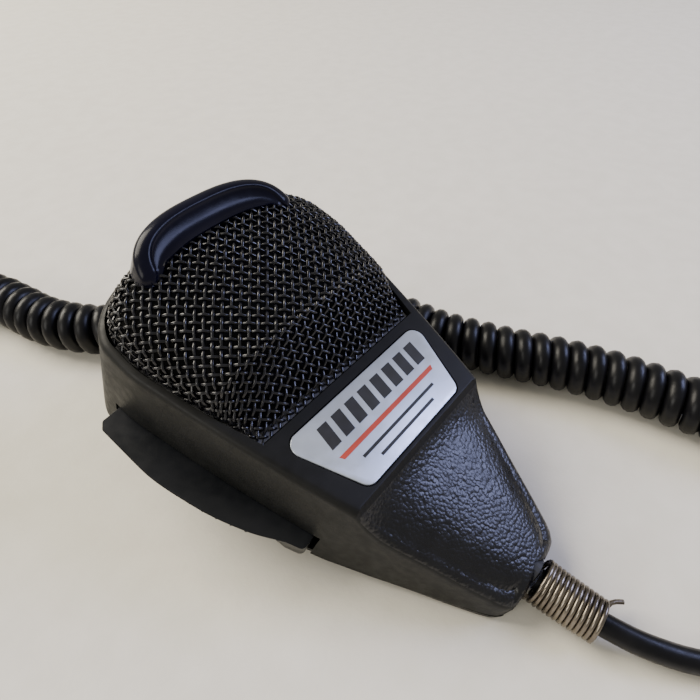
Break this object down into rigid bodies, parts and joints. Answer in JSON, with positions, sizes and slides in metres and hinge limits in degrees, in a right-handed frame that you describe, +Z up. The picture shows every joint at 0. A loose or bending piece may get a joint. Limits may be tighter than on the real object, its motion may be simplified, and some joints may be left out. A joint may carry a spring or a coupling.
{
  "type": "hand microphone",
  "caption": "Wedge-shaped black hand microphone with domed woven grille, lip guard, push-to-talk lever, hang button, curly cord and screw-on plug, lying on its back.",
  "frame": {"origin": "on the surface that the microphone lies on, under the middle of the hand unit", "axes": "+Y towards the head of the hand unit, +Z up; the hand unit lies on its back with its head raised 17.8 degrees"},
  "size_m": [0.1749, 0.2603, 0.0616],
  "materials": {
    "housing": "satin moulded, fine grain, leather grain on the slope",
    "lever": "satin moulded with grip ribs",
    "gloss_black": "semi-gloss",
    "grille_wire": "black coated woven wire",
    "inner_plastic": "moulded",
    "plate": "satin silver with a printed pattern",
    "foam": "open cell foam",
    "rubber": "matte",
    "nickel": "nickel plated, slightly dull",
    "steel": "zinc plated",
    "board": "phenolic board",
    "wire_red": "insulation",
    "wire_white": "insulation",
    "wire_blue": "insulation",
    "cord_jacket": "semi-matte",
    "contact_brass": "plated"
  },
  "bodies": {
    "hand_unit": {"front_shell": "housing", "back_cover": "housing", "lip_guard": "gloss_black", "grille": "grille_wire", "grille_retainer": "inner_plastic", "switch_body": "inner_plastic", "plug_insert": "inner_plastic", "cartridge": "inner_plastic", "nameplate": "plate", "windscreen_foam": "foam", "cartridge_ring": "rubber", "gland_bushing": "rubber", "hang_button": "nickel", "strain_relief_spring": "nickel", "plug_shell": "nickel", "hang_button_screw": "steel", "cover_screw_1": "steel", "cover_screw_2": "steel", "cover_screw_3": "steel", "switch_bracket": "steel", "switch_screw_1": "steel", "switch_screw_2": "steel", "ptt_hinge_pin": "steel", "ptt_torsion_spring": "steel", "board_screw_1": "steel", "board_screw_2": "steel", "cord_clamp": "steel", "cord_saddle": "steel", "saddle_screw_1": "steel", "saddle_screw_2": "steel", "terminal_board": "board", "inner_wire_red": "wire_red", "inner_wire_white": "wire_white", "inner_wire_blue": "wire_blue", "cord_inner_end": "cord_jacket", "cord_relief_core": "cord_jacket", "cord_lead": "cord_jacket", "curly_cord": "cord_jacket", "cord_tail": "cord_jacket", "plug_contact_1": "contact_brass", "plug_contact_2": "contact_brass", "plug_contact_3": "contact_brass", "plug_contact_4": "contact_brass"},
    "lever": {"ptt_lever": "lever"},
    "plunger": {"switch_plunger": "gloss_black"},
    "nut": {"coupling_nut": "nickel"}
  },
  "joints": [
    {"name": "ptt_press", "type": "hinge", "parent": "hand_unit", "child": "lever", "pos_m": [-0.0189, -0.00979, 0.00867], "axis": [0, 0.3057, -0.9521], "range_deg": [0, 4], "stiffness_Nm_per_rad": 0.3, "springref_deg": -5.73},
    {"name": "switch_plunge", "type": "slide", "parent": "hand_unit", "child": "plunger", "axis": [1, 0, 0], "range_m": [0, 0.0026]},
    {"name": "coupling_nut_spin", "type": "hinge", "parent": "hand_unit", "child": "nut", "pos_m": [-0.0889, 0.0569, 0.0098], "axis": [0, 1, 0], "continuous": true}
  ],
  "couplings": [
    {"joint": "switch_plunge", "follows": "ptt_press", "m_per_rad": 0.0308}
  ]
}
